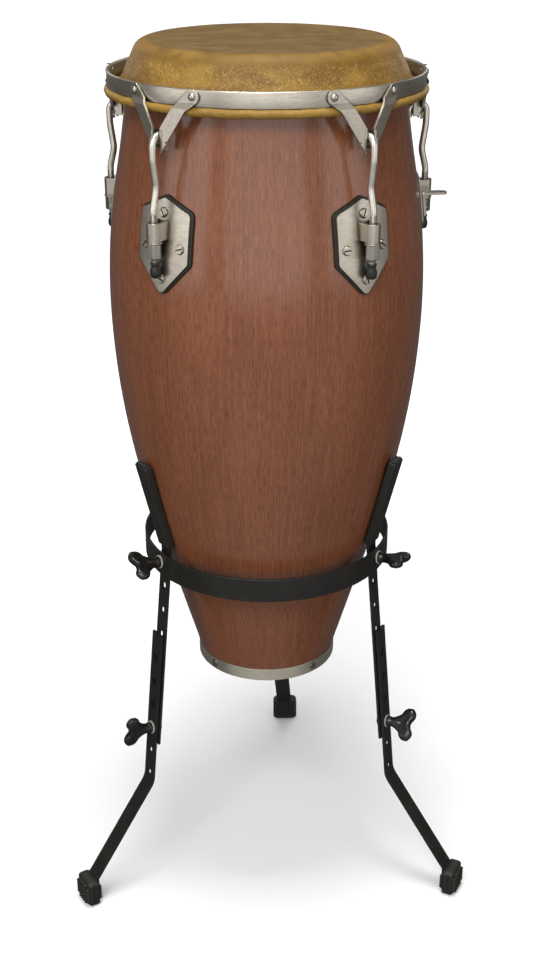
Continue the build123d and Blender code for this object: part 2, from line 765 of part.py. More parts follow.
HOLE_COUNT = 8
HOLE_CORNER = 1.2
STUD_END = 18.0
SPACER_STEP = 3.45
SPACER_HEIGHT = 5.0
SPACER_RADIUS = 8.0
NECK = HOLE_SIZE - 0.2
HEAD_RADIUS = 7.5
ARM_TURN = BAR_LEAN + ARM_LEAN
RUBBER_OUT = 1.8
KNEE = 14.4
PAD_START = 4.5
PAD_LENGTH = 107.0
PAD_EASE = 0.3
splay = radians(LEG_SPLAY - BAR_LEAN)
knob_spins = {"left": (-25.0, 80.0), "right": (-3.0, 43.0), "rear": (15.0, 80.0)}


def arm_to_shell(height):
    """Distance from the line of the arm's outer face to the shell at a height."""
    knee_radius = BAR_FACE - KNEE * sin(tilt)
    knee_height = BOLT_HEIGHT + KNEE * cos(tilt)
    arm_lean = radians(ARM_LEAN)
    return (knee_radius - on_side(height)[0]) * cos(arm_lean) - (knee_height - height) * sin(arm_lean)


PAD_DEPTH = min(arm_to_shell(BOLT_HEIGHT + rise) for rise in range(15, 130, 5)) - CLEARANCE - PAD_EASE

for name, azimuth in leg_azimuths.items():
    swivel = leg_swivels[name]
    leg = leg_plane(azimuth, swivel)
    side = side_of(leg)
    arm_dir = (cos(radians(ARM_TURN)), sin(radians(ARM_TURN)))
    arm_end = (KNEE + ARM_LENGTH * arm_dir[0], ARM_LENGTH * arm_dir[1])

    # Upper bar: straight with its row of holes, then bent out into the arm.
    with BuildPart() as upper_bar:
        with BuildSketch(side):
            with BuildLine():
                outer_face = FilletPolyline((-BAR_END, 0), (KNEE, 0), arm_end, radius=12)
                offset(outer_face, amount=BAR_THICK, side=Side.RIGHT)
            make_face()
        extrude(amount=BAR_WIDTH / 2 - 0.5, both=True)
        with BuildSketch(leg):
            for step in range(HOLE_COUNT):
                with Locations((0, -step * HOLE_PITCH)):
                    RectangleRounded(HOLE_SIZE, HOLE_SIZE, HOLE_CORNER)
        extrude(amount=10, both=True, mode=Mode.SUBTRACT)
        with BuildSketch(leg):
            with Locations((0, -LEG_BOLT)):
                Rectangle(HOLE_SIZE + 0.4, HOLE_SIZE + 0.4)
            with Locations((0, -LEG_BOLT - HOLE_SIZE / 2 - 0.2)):
                Rectangle(HOLE_SIZE + 0.4, 50 + HOLE_SIZE, align=(Align.CENTER, Align.MIN))
        extrude(amount=10, both=True, mode=Mode.SUBTRACT)
    save(upper_bar.part, f"upper_bar_{name}")

    # Rubber sleeve over the arm.
    normal = (-arm_dir[1], arm_dir[0])
    with BuildPart() as arm_pad:
        with BuildSketch(side):
            with BuildLine():
                start = (KNEE + PAD_START * arm_dir[0], PAD_START * arm_dir[1])
                end = (start[0] + PAD_LENGTH * arm_dir[0], start[1] + PAD_LENGTH * arm_dir[1])
                Polyline(
                    (start[0] + normal[0] * RUBBER_OUT, start[1] + normal[1] * RUBBER_OUT),
                    (end[0] + normal[0] * RUBBER_OUT, end[1] + normal[1] * RUBBER_OUT),
                    (end[0] - normal[0] * PAD_DEPTH, end[1] - normal[1] * PAD_DEPTH),
                    (start[0] - normal[0] * PAD_DEPTH, start[1] - normal[1] * PAD_DEPTH),
                    close=True,
                )
            make_face()
        extrude(amount=PAD_WIDTH / 2, both=True)
        fillet(arm_pad.edges(), 1.6)
        add(upper_bar.part, mode=Mode.SUBTRACT)
    save(arm_pad.part, f"arm_pad_{name}")

    # Carriage bolt through the ring: square neck in the bar, round in the ring.
    with BuildPart() as ring_bolt:
        with BuildSketch(leg.offset(-BAR_THICK)):
            Circle(HEAD_RADIUS)
        extrude(amount=-2.6, taper=35)
        with BuildSketch(leg.offset(-BAR_THICK)):
            RectangleRounded(NECK, NECK, HOLE_CORNER)
        extrude(amount=BAR_THICK - 0.2)
        with BuildSketch(leg.offset(-0.3)):
            Circle(STUD_RADIUS)
        extrude(amount=RING_WASHER + NYLON_THICK + STUD_END)
    save(ring_bolt.part, f"ring_bolt_{name}")

    ring_knob = wing_knob(leg, RING_WASHER + NYLON_THICK + CLEARANCE, knob_spins[name][0])
    save(ring_knob, f"ring_knob_{name}")

    # Lower leg: flat bar outside the upper one, splayed out to its foot.
    bend_height = BOLT_HEIGHT + LEG_GAP * sin(tilt) - LEG_BEND * cos(tilt) * cos(radians(swivel))
    fall = cos(splay) * cos(tilt) * cos(radians(swivel)) - sin(splay) * sin(tilt)
    reach = (bend_height - FOOT_SINK) / fall
    toe = (-LEG_BEND - reach * cos(splay), LEG_GAP + reach * sin(splay))
    with BuildPart() as lower_leg:
        with BuildSketch(side):
            with BuildLine():
                inner_face = FilletPolyline((-LEG_TOP, LEG_GAP), (-LEG_BEND, LEG_GAP), toe, radius=26)
                offset(inner_face, amount=LEG_THICK, side=Side.RIGHT)
            make_face()
        extrude(amount=BAR_WIDTH / 2, both=True)
        with BuildSketch(leg.offset(LEG_GAP + LEG_THICK)):
            for step in range(4, 10):
                with Locations((0, -step * HOLE_PITCH)):
                    RectangleRounded(HOLE_SIZE, HOLE_SIZE, HOLE_CORNER)
            with Locations((0, -3 * HOLE_PITCH + 2)):
                Circle(HOLE_SIZE * 0.62)
        extrude(amount=-(LEG_THICK + 1), mode=Mode.SUBTRACT)
        # Spacers that hold the two bars apart: a rib near the top, a boss at the bolt.
        with BuildSketch(leg.offset(CLEARANCE)):
            with Locations((0, -SPACER_STEP * HOLE_PITCH)):
                Rectangle(BAR_WIDTH - 3, SPACER_HEIGHT)
            with Locations((0, -LEG_BOLT)):
                Circle(SPACER_RADIUS)
                RectangleRounded(HOLE_SIZE, HOLE_SIZE, HOLE_CORNER, mode=Mode.SUBTRACT)
        extrude(amount=LEG_GAP)
    save(lower_leg.part, f"lower_leg_{name}")

    toe_point = side.from_local_coords(Vector(toe[0], toe[1], 0))
    turn = radians(heading(azimuth))
    with BuildPart() as foot:
        with BuildSketch(Plane(origin=(toe_point.X, toe_point.Y, 0), x_dir=(cos(turn), sin(turn), 0))):
            with Locations((-2.0, 0)):
                RectangleRounded(FOOT_DEPTH, FOOT_WIDTH, 4)
        extrude(amount=FOOT_HEIGHT)
        chamfer(foot.faces().sort_by(Axis.Z)[-1].edges(), 2.5)
        chamfer(foot.faces().sort_by(Axis.Z)[0].edges(), 1.0)
        add(lower_leg.part, mode=Mode.SUBTRACT)
    save(foot.part, f"foot_{name}")

    leg_bolt_spot = leg.offset(0)
    leg_bolt_spot.origin = leg.from_local_coords(Vector(0, -LEG_BOLT, 0))
    washer_seat = LEG_GAP + LEG_THICK
    with BuildPart() as leg_bolt:
        with BuildSketch(leg_bolt_spot.offset(-BAR_THICK - CLEARANCE)):
            Circle(HEAD_RADIUS)
        extrude(amount=-2.6, taper=35)
        with BuildSketch(leg_bolt_spot.offset(-BAR_THICK - CLEARANCE)):
            RectangleRounded(NECK, NECK, HOLE_CORNER)
        extrude(amount=BAR_THICK + CLEARANCE + washer_seat)
        with BuildSketch(leg_bolt_spot):
            Circle(STUD_RADIUS)
        extrude(amount=washer_seat + NYLON_THICK + STUD_END)
    save(leg_bolt.part, f"leg_bolt_{name}")

    with BuildPart() as leg_washer:
        with BuildSketch(leg_bolt_spot.offset(washer_seat)):
            Circle(NYLON_RADIUS)
            Circle(STUD_RADIUS + TURNING_FIT, mode=Mode.SUBTRACT)
        extrude(amount=NYLON_THICK)
    save(leg_washer.part, f"leg_washer_{name}")

    leg_knob = wing_knob(leg_bolt_spot, washer_seat + NYLON_THICK + CLEARANCE, knob_spins[name][1])
    save(leg_knob, f"leg_knob_{name}")
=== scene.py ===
import json
from math import atan2, cos, hypot, pi, radians, sin, sqrt, tan

import bpy
from mathutils import Matrix, Vector, noise


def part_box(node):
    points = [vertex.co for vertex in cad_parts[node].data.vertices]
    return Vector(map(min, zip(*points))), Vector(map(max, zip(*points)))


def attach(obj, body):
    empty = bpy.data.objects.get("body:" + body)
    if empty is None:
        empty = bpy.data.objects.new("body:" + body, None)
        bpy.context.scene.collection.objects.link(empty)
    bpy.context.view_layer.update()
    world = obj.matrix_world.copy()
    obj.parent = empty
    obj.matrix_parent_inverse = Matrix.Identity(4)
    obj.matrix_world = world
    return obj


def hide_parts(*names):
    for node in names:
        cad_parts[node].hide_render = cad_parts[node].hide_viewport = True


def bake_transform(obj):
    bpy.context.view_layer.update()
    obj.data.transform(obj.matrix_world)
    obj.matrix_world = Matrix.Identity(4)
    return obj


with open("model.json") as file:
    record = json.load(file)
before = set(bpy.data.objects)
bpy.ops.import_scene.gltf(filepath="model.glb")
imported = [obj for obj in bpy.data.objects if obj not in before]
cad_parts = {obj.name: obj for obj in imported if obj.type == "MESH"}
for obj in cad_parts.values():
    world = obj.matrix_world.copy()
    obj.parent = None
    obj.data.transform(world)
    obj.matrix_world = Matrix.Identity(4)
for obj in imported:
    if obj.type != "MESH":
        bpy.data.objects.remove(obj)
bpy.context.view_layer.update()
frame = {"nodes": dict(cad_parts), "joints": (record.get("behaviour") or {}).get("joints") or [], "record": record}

# A conga drum in a basket stand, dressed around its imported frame.
# Shapes are in millimetres and become metres when a mesh is made.
# Materials, lights and the camera are in metres.
# An azimuth is counted from -Y towards +X, in degrees.
MM = 0.001
LEGS = ("left", "right", "rear")
LUG_AZIMUTHS = [34.8 + 72.0 * k for k in range(5)]

# shell: its outline is radius and height where the arcs of the staves join
SHELL_BOTTOM = 274.0
SHELL_TOP = 983.0
FOOT_RADIUS = 76.0
SKIRT_JOIN = (120.4, 424.0)
STAVE_ARCS = [(150.4, 544.0), (168.5, 694.0), (156.6, 854.0), (145.8, 924.0), (129.6, SHELL_TOP)]
SHELL_WALL = 10.0
EDGE_ROUND = 12.5
BAND_SEAT = 79.0
BAND_TOP = 288.5
STAVE_COUNT = 20
SKIRT_STEPS = 12
ARC_STEPS = 18
TURN_STEPS = 288

# head: disc, shoulder, collar, and the roll with its start and sweep in degrees
HEAD_TOP = 985.0
HEAD_FLAT = 121.5
HEAD_SHOULDER = 15.0
COLLAR_LEAN = 25.0
COLLAR_END = 951.0
HIDE = 2.0
FLARE_OUTSIDE = 8.0
FLARE_INSIDE = 12.0
ROLL_CENTRE = (161.7, 936.2)
ROLL_RADIUS = 4.3
ROLL_START = 150.0
ROLL_SWEEP = 315.0
ROLL_TOP = 942.0
SLACK_WIDTH = 24.0
DISC_STEPS = 24
COLLAR_STEPS = 12
FLARE_STEPS = 10
ROLL_STEPS = 18
HEAD_TURN_STEPS = 360

# rim and rivets; a rivet's head and tail are radius, height and foot of a dome
RIM_OUTER = 163.0
RIM_THICK = 3.0
RIM_BOTTOM = 940.5
RIM_TOP = 956.5
RIM_ROUND = 0.9
YOKE_FACE = 165.5
YOKE_SPREAD = 12.4
RIVET_HEIGHT = 950.0
RIVET_HEAD = (3.6, 2.3, 1.0)
RIVET_TAIL = (3.5, 1.3, 1.0)

# rods: a hook over the yoke's pin, a bend outwards and a threaded end
ROD_AXIS = 180.0
ROD_SHANK = 3.55
ROD_BOTTOM = 778.0
ROD_WAIST = (174.6, 863.0)
ROD_LEAD = 4.5
ROD_BEND = 24.0
HOOK_CENTRE = (168.4, 902.4)
HOOK_RADIUS = 10.0
HOOK_TAIL = 5.0
HOOK_DROP = 13.0
HOOK_STEPS = 16
THREAD_TOP = 838.5
THREAD_RADIUS = 3.95
THREAD_PITCH = 1.5
THREAD_RIDGE = 0.62
THREAD_ROWS = 6

# nuts, and the rubber tips' outline as radius and height over their bottom
NUT_TOP = 810.1
NUT_BOTTOM = 795.6
NUT_ACROSS_FLATS = 13.0
NUT_CORNER = 1.135
NUT_FACE_INSET = 0.35
NUT_CONE = 1.75
NUT_CONE_POWER = 0.8
NUT_CHAMFER_ROWS = (0.0, 0.25, 0.5, 0.8, 1.2, 1.7)
NUT_BORE = 4.03
NUT_MOUTH = 4.5
NUT_MOUTH_DEPTH = 0.6
NUT_STEPS = 72
TIP_BOTTOM = 775.5
TIP_PROFILE = [
    (0.6, 0.0), (2.6, 0.2), (4.2, 1.3), (5.1, 3.0), (5.3, 5.0), (5.25, 7.5), (4.7, 9.6),
    (3.95, 11.0), (3.95, 12.6), (4.6, 13.2), (4.75, 14.8), (4.5, 15.7), (4.0, 16.0),
]

# wing knobs: a stem that flares into two lobes with a notch between them
KNOB_THICK = 10.0
KNOB_MIDDLE = 20.0
KNOB_DISH = 0.16
KNOB_WALK = 0.1
KNOB_SMOOTHINGS = 3
KNOB_STEPS = 144
KNOB_SHARES = [1.0, 0.995, 0.97, 0.92, 0.84, 0.72, 0.5, 0.25, 0.04]
CROWN_START = 0.62
CROWN_WIDTH = 0.38
LOBE_OFFSET = 11.5
LOBE_RADIUS = 8.2
LOBE_REACH = 24.8
NOTCH_REACH = 37.6
NOTCH_RADIUS = 9.0
STEM_START = 4.0
STEM_END = LOBE_REACH + 4.6
STEM_WIDTH = 5.6
STEM_FLARE = 6.0
STEM_SPREAD = 0.26
STEM_SPREAD_POWER = 1.35
HUB_PROFILE = [
    (5.2, 0.0), (6.3, 0.3), (6.6, 1.0), (6.5, 2.4), (5.9, 3.6),
    (5.6, 7.0), (5.3, 12.0), (4.6, 16.5), (3.0, 20.0), (1.2, 21.0),
]

# feet; a bump is radius, height and foot of a dome
FOOT_WIDTH = 32.0
FOOT_DEPTH = 21.0
FOOT_CORNER = 4.0
FOOT_CROWN = 1.2
FOOT_SQUARENESS = 0.4
FOOT_TAPER = 0.03
FOOT_TAPER_SHARE = 0.35
FOOT_BUMP = 2.7
FACE_BUMP = (2.05, FOOT_BUMP, 1.2)
SIDE_BUMP = (2.0, 1.1, 0.5)
BUMP_ROWS = 7
BUMP_COLUMNS = 6
BUMP_PITCH = 4.9
BUMP_START = 4.4
BUMP_MARGIN = 9.6

# materials: the radii at which a surface is unrolled, and how far roughness strays
SHELL_UNROLL = 0.15
METAL_UNROLL = 0.165
SMOOTHER = 0.06
ROUGHER = 0.08
# where the hide's looks change: radius at the disc's edge, heights at the shoulder and the roll
DISC_FADE = (0.1185, 0.1265)
SHOULDER_FADE = (0.9790, 0.9700)
PALE_FADE = (0.9790, 0.9720)
ROLL_FADE = (0.9440, 0.9400)

# studio: the paper's sweep in millimetres; its glow grows outwards between two distances in metres
SWEEP_RADIUS = 4200.0
SWEEP_HEIGHT = 5200.0
SWEEP_BEND = 1700.0
PAPER_FADE = (0.30, 1.50)
PAPER_GLOW = (0.04, 0.52)
# brightness along an axis of the surroundings: axis, where it starts and ends, from and to
WORLD_GRADES = [("Z", 0.2, 0.9, 0.10, 0.36), ("Y", -0.9, 0.1, 0.34, 0.0)]
# place, aim, size and power
SOFT_BOXES = {
    "key": ((-0.5, -2.1, 2.6), (0, 0, 0.85), (1.6, 1.0), 54),
    "front": ((0, -2.5, 0.95), (0, 0, 0.85), (2.8, 1.3), 14),
    "side_left": ((-2.25, -1.25, 1.1), (0, 0, 0.8), (1.8, 1.5), 13),
    "side_right": ((2.25, -1.25, 1.1), (0, 0, 0.8), (1.8, 1.5), 11),
    "back_left": ((-1.6, 2.3, 1.5), (0, 0, 0.8), (1.4, 1.2), 9),
    "back_right": ((1.6, 2.3, 1.5), (0, 0, 0.8), (1.4, 1.2), 9),
    "overhead": ((0, -0.15, 3.0), (0, 0, 0), (0.65, 0.65), 54),
}
CAMERA_SPOT = (0, -1.4968, 1.1694)
CAMERA_TILT = 65.7
FOCAL_LENGTH = 53.4
SENSOR_HEIGHT = 36.0
LENS_SHIFT = 0.0125


# ---- meshes -----------------------------------------------------------------
def mesh_object(name, vertices, faces, crease=40.0):
    """Smooth-shaded object from points in millimetres, sharp over crease degrees."""
    mesh = bpy.data.meshes.new(name)
    mesh.from_pydata([tuple(MM * c for c in v) for v in vertices], [], faces)
    mesh.validate()
    mesh.update()
    mesh.shade_smooth()
    mesh.set_sharp_from_angle(angle=radians(crease))
    piece = bpy.data.objects.new(name, mesh)
    bpy.context.scene.collection.objects.link(piece)
    return piece


def joined(parts):
    """Vertices and faces of several (vertices, faces) pairs as one pair."""
    vertices, faces = [], []
    for part_vertices, part_faces in parts:
        start = len(vertices)
        vertices.extend(part_vertices)
        faces.extend([tuple(i + start for i in face) for face in part_faces])
    return vertices, faces


def moved(part, matrix):
    """A (vertices, faces) pair carried by a matrix in millimetres."""
    vertices, faces = part
    return [tuple(matrix @ Vector(v)) for v in vertices], faces


def grid_faces(rows, columns, wrap_rows=False):
    """Quads of a grid whose columns close round; rows close too if asked."""
    faces = []
    for row in range(rows if wrap_rows else rows - 1):
        below, above = row * columns, ((row + 1) % rows) * columns
        for column in range(columns):
            after = (column + 1) % columns
            faces.append((below + column, below + after, above + after, above + column))
    return faces


def capped_faces(rows, columns):
    """Faces of a grid whose columns close round, with a cap over its first and last row."""
    last = (rows - 1) * columns
    caps = [tuple(reversed(range(columns))), tuple(range(last, last + columns))]
    return grid_faces(rows, columns) + caps


def polar(origin, reach, angle):
    """Point at this reach and angle from an origin, on a plane."""
    return origin[0] + reach * cos(angle), origin[1] + reach * sin(angle)


def lathe(loop, steps, bend=None):
    """Closed ring of revolution about Z from a loop of (radius, height).

    bend(radius, height, angle) may return a changed radius and height.
    """
    vertices = []
    for radius, height in loop:
        for k in range(steps):
            angle = 2 * pi * k / steps
            r, z = bend(radius, height, angle) if bend else (radius, height)
            vertices.append((r * sin(angle), -r * cos(angle), z))
    return vertices, grid_faces(len(loop), steps, wrap_rows=True)


def turned(profile, steps):
    """Solid of revolution about Z from (radius, height) points, closed by caps at both ends."""
    vertices = [
        (radius * cos(2 * pi * k / steps), radius * sin(2 * pi * k / steps), height)
        for radius, height in profile
        for k in range(steps)
    ]
    return vertices, capped_faces(len(profile), steps)


def rounded(points, radii, steps, closed=True):
    """Polyline with its corners rounded; radii is one number or one for each point."""
    count = len(points)
    if not isinstance(radii, (list, tuple)):
        radii = [radii] * count
    result = []
    for i, point in enumerate(points):
        if not closed and i in (0, count - 1):
            result.append(tuple(point))
            continue
        corner = Vector(point)
        before = Vector(points[i - 1]) - corner
        after = Vector(points[(i + 1) % count]) - corner
        half = before.angle(after) / 2
        before.normalize()
        after.normalize()
        centre = corner + (before + after).normalized() * (radii[i] / sin(half))
        reach = radii[i] / tan(half)
        start = corner + before * reach - centre
        end = corner + after * reach - centre
        sweep = pi - 2 * half
        for k in range(steps + 1):
            from_start = sin((1 - k / steps) * sweep) / sin(sweep)
            from_end = sin((k / steps) * sweep) / sin(sweep)
            result.append(tuple(centre + (start * from_start + end * from_end)))
    return result


def tube(path, radius, sides, twist_ridge=None):
    """Round bar along a path of (x, z) points.

    twist_ridge(distance, angle) may add to its radius.
    """
    points = [Vector((x, 0, z)) for x, z in path]
    vertices = []
    travelled = 0.0
    for i, point in enumerate(points):
        ahead = points[min(i + 1, len(points) - 1)] - points[max(i - 1, 0)]
        across = Vector((0, 1, 0))
        normal = ahead.normalized().cross(across)
        if i:
            travelled += (point - points[i - 1]).length
        for k in range(sides):
            angle = 2 * pi * k / sides
            reach = radius + (twist_ridge(travelled, angle) if twist_ridge else 0)
            vertices.append(tuple(point + (normal * cos(angle) + across * sin(angle)) * reach))
    return vertices, capped_faces(len(points), sides)


def heading(azimuth):
    """Turn about Z that carries +X to an azimuth."""
    return Matrix.Rotation(radians(azimuth - 90.0), 4, "Z")


def placed(origin, x_dir, z_dir):
    """Matrix of a frame with its own x and z directions."""
    z_axis = Vector(z_dir).normalized()
    x_axis = (Vector(x_dir) - z_axis * Vector(x_dir).dot(z_axis)).normalized()
    y_axis = z_axis.cross(x_axis)
    matrix = Matrix((x_axis, y_axis, z_axis)).transposed().to_4x4()
    matrix.translation = Vector(origin)
    return matrix


def cad_points(node):
    """The vertices of a CAD node at rest, in millimetres."""
    return [v.co / MM for v in frame["nodes"][node].data.vertices]


def dress(piece, body, slot, *nodes):
    """Hand a finished piece to its body, finish and the CAD nodes that it stands for."""
    piece.data.materials.append(finishes[slot])
    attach(piece, body)
    if nodes:
        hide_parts(*nodes)


# ---- materials --------------------------------------------------------------
class Finish:
    """A node material, built one node at a time around its principled shader."""

    def __init__(self, name, **sockets):
        self.material = bpy.data.materials.new(name)
        self.material.use_nodes = True
        self.tree = self.material.node_tree
        self.shader = self.tree.nodes["Principled BSDF"]
        for socket, value in sockets.items():
            self.shader.inputs[socket.replace("_", " ")].default_value = value

    def node(self, kind, inputs, output=0, **settings):
        """Add a node; inputs maps a socket's name or number to a value or another output."""
        node = self.tree.nodes.new(kind)
        for key, value in settings.items():
            setattr(node, key, value)
        for key, value in inputs.items():
            if isinstance(value, bpy.types.NodeSocket):
                self.tree.links.new(value, node.inputs[key])
            else:
                node.inputs[key].default_value = value
        return node.outputs[output]

    def math(self, operation, a, b=0.0):
        """Sum, product or the like of two numbers or outputs."""
        return self.node("ShaderNodeMath", {0: a, 1: b}, operation=operation)

    def scaled(self, vector, scale):
        """Vector stretched along each axis."""
        return self.node("ShaderNodeVectorMath", {0: vector, 1: scale}, operation="MULTIPLY")

    def place(self):
        """Place on the piece, in metres."""
        return self.node("ShaderNodeTexCoord", {}, output="Object")

    def parts(self, vector):
        """A vector's x, y and z."""
        split = self.tree.nodes.new("ShaderNodeSeparateXYZ")
        self.tree.links.new(vector, split.inputs[0])
        return split.outputs

    def round_place(self, radius):
        """Object place unrolled about the drum's axis: along the circle, height, radius."""
        x, y, z = self.parts(self.place())
        angle = self.math("ARCTAN2", x, self.math("MULTIPLY", y, -1.0))
        squares = self.math("ADD", self.math("MULTIPLY", x, x), self.math("MULTIPLY", y, y))
        out = self.math("SQRT", squares)
        arc = self.math("MULTIPLY", angle, radius)
        return self.node("ShaderNodeCombineXYZ", {0: arc, 1: z, 2: out})

    def noise(self, vector, scale, detail=3.0, roughness=0.55, distortion=0.0, kind="FBM"):
        """Fractal noise, about 0 to 1."""
        inputs = {
            "Vector": vector, "Scale": scale, "Detail": detail,
            "Roughness": roughness, "Distortion": distortion,
        }
        return self.node("ShaderNodeTexNoise", inputs, noise_type=kind)

    def ramp(self, value, low, high, to_low=0.0, to_high=1.0):
        """Smooth step of a value from low..high to to_low..to_high."""
        inputs = {
            "Value": value, "From Min": low, "From Max": high,
            "To Min": to_low, "To Max": to_high,
        }
        return self.node("ShaderNodeMapRange", inputs, interpolation_type="SMOOTHSTEP")

    def mix(self, share, a, b):
        """Mixed colour; a and b are colours or outputs."""
        node = self.tree.nodes.new("ShaderNodeMix")
        node.data_type = "RGBA"
        for socket, value in ((node.inputs[0], share), (node.inputs[6], a), (node.inputs[7], b)):
            if isinstance(value, bpy.types.NodeSocket):
                self.tree.links.new(value, socket)
            else:
                socket.default_value = value if socket == node.inputs[0] else (*value, 1.0)
        return node.outputs[2]

    def colour(self, output):
        """Colour the surface with an output."""
        self.tree.links.new(output, self.shader.inputs["Base Color"])

    def rough(self, output):
        """Roughen the surface with an output."""
        self.tree.links.new(output, self.shader.inputs["Roughness"])

    def bump(self, height, distance, strength=1.0, edge=0.0):
        """Bump by a height times a distance; edge is the radius that edges seem rounded by."""
        inputs = {"Height": height, "Distance": distance, "Strength": strength}
        if edge:
            inputs["Normal"] = self.node("ShaderNodeBevel", {"Radius": edge}, samples=6)
        self.tree.links.new(self.node("ShaderNodeBump", inputs), self.shader.inputs["Normal"])


def wood_finish():
    """Stained, varnished staves with fine vertical pores and faint broad figure."""
    f = Finish(
        "stained_staves", Roughness=0.6, Specular_IOR_Level=0.0,
        Coat_Weight=1.0, Coat_Roughness=0.19, Coat_IOR=1.5,
    )
    place = f.round_place(SHELL_UNROLL)
    arc = f.parts(place)[0]
    stave = f.math("FLOOR", f.math("MULTIPLY", arc, STAVE_COUNT / (2 * pi * SHELL_UNROLL)))
    tone = f.node("ShaderNodeTexWhiteNoise", {"W": stave}, noise_dimensions="1D")
    figure = f.noise(f.scaled(place, (17.0, 3.4, 0.0)), 1.0, 4.0, 0.6, 0.5)
    streaks = f.noise(f.scaled(place, (620.0, 13.0, 0.0)), 1.0, 3.0, 0.6)
    flecks = f.noise(f.scaled(place, (1500.0, 90.0, 0.0)), 1.0, 3.0, 0.6)
    colour = f.mix(f.ramp(figure, 0.30, 0.70), (0.132, 0.043, 0.0190), (0.182, 0.062, 0.0280))
    colour = f.mix(f.ramp(tone, 0.0, 1.0, 0.0, 0.35), colour, (0.158, 0.048, 0.025))
    colour = f.mix(f.ramp(streaks, 0.38, 0.66, 0.0, 0.65), colour, (0.230, 0.086, 0.041))
    colour = f.mix(f.ramp(flecks, 0.52, 0.68, 0.0, 0.42), colour, (0.280, 0.118, 0.059))
    dark_pore = f.ramp(flecks, 0.47, 0.33, 0.0, 0.62)
    f.colour(f.mix(dark_pore, colour, (0.048, 0.013, 0.006)))
    f.rough(f.ramp(flecks, 0.2, 0.8, 0.66, 0.54))
    f.bump(f.math("ADD", f.math("MULTIPLY", streaks, 0.3), flecks), 0.00005, 0.4)
    return f.material


def hide_finish():
    """Rawhide: browner and smoother on top, golden and fibrous down to the fuzzy roll; the top's brown is also
    darkened as painted shade to offset the overhead lamp.
    """
    f = Finish("rawhide", Roughness=0.6, Specular_IOR_Level=0.25)
    place = f.place()
    unrolled = f.round_place(SHELL_UNROLL)
    _, height, out = f.parts(unrolled)
    cloud = f.noise(place, 38.0, 5.0, 0.62, 0.2)
    patches = f.noise(f.scaled(unrolled, (15.0, 30.0, 6.0)), 1.0, 4.0, 0.6, 0.3)
    grain = f.noise(f.scaled(unrolled, (620.0, 900.0, 500.0)), 1.0, 3.0, 0.65, 0.8)
    fibre_place = f.scaled(unrolled, (330.0, 620.0, 300.0))
    fibres = f.noise(fibre_place, 1.0, 4.0, 0.65, 1.4, "RIDGED_MULTIFRACTAL")
    strands = 0.0
    for slant in (0.55, -0.35, 1.25):
        turned_place = {"Vector": unrolled, "Axis": (0, 0, 1), "Angle": slant}
        laid = f.node("ShaderNodeVectorRotate", turned_place)
        strand = f.noise(f.scaled(laid, (190.0, 1500.0, 400.0)), 1.0, 3.0, 0.6, 0.6)
        strands = f.math("MAXIMUM", strands, strand)
    sweep = f.noise(f.scaled(place, (22.0, 170.0, 1.0)), 1.0, 3.0, 0.6)
    # painted shade: the top's browns are set darker than the hide is, to offset the bright overhead lamp
    top = f.mix(f.ramp(cloud, 0.3, 0.7), (0.080, 0.045, 0.010), (0.118, 0.070, 0.019))
    top = f.mix(f.ramp(sweep, 0.35, 0.7, 0.0, 0.4), top, (0.155, 0.096, 0.032))
    golden = f.mix(f.ramp(patches, 0.38, 0.66), (0.115, 0.054, 0.006), (0.215, 0.118, 0.017))
    golden = f.mix(f.ramp(grain, 0.52, 0.72, 0.0, 0.35), golden, (0.420, 0.280, 0.085))
    golden = f.mix(f.ramp(strands, 0.60, 0.74, 0.0, 0.75), golden, (0.600, 0.440, 0.180))
    golden = f.mix(f.ramp(grain, 0.46, 0.30, 0.0, 0.45), golden, (0.120, 0.058, 0.012))
    shoulder = f.mix(f.ramp(cloud, 0.3, 0.7), (0.115, 0.056, 0.007), (0.180, 0.100, 0.015))
    colour = f.mix(f.ramp(out, *DISC_FADE), top, shoulder)
    colour = f.mix(f.ramp(height, *SHOULDER_FADE), colour, golden)
    pale_fibres = f.ramp(fibres, 0.62, 1.30, 0.0, 0.55)
    pale = f.math("MULTIPLY", pale_fibres, f.ramp(patches, 0.42, 0.60, 0.15, 1.0))
    pale = f.math("MULTIPLY", pale, f.ramp(height, *PALE_FADE, 0.1, 1.0))
    colour = f.mix(pale, colour, (0.640, 0.500, 0.235))
    roll = f.ramp(height, *ROLL_FADE)
    colour = f.mix(f.math("MULTIPLY", roll, 0.35), colour, (0.300, 0.185, 0.030))
    tufts = f.math("MULTIPLY", roll, f.ramp(fibres, 0.50, 1.05, 0.0, 0.75))
    f.colour(f.mix(tufts, colour, (0.660, 0.560, 0.310)))
    f.rough(f.ramp(cloud, 0.3, 0.7, 0.50, 0.66))
    relief = f.math("ADD", f.math("MULTIPLY", cloud, 0.6), f.math("MULTIPLY", grain, 0.5))
    relief = f.math("ADD", relief, f.math("MULTIPLY", strands, 0.7))
    relief = f.math("ADD", relief, f.math("MULTIPLY", f.math("MULTIPLY", fibres, roll), 0.9))
    f.bump(relief, 0.0008, 0.5)
    return f.material


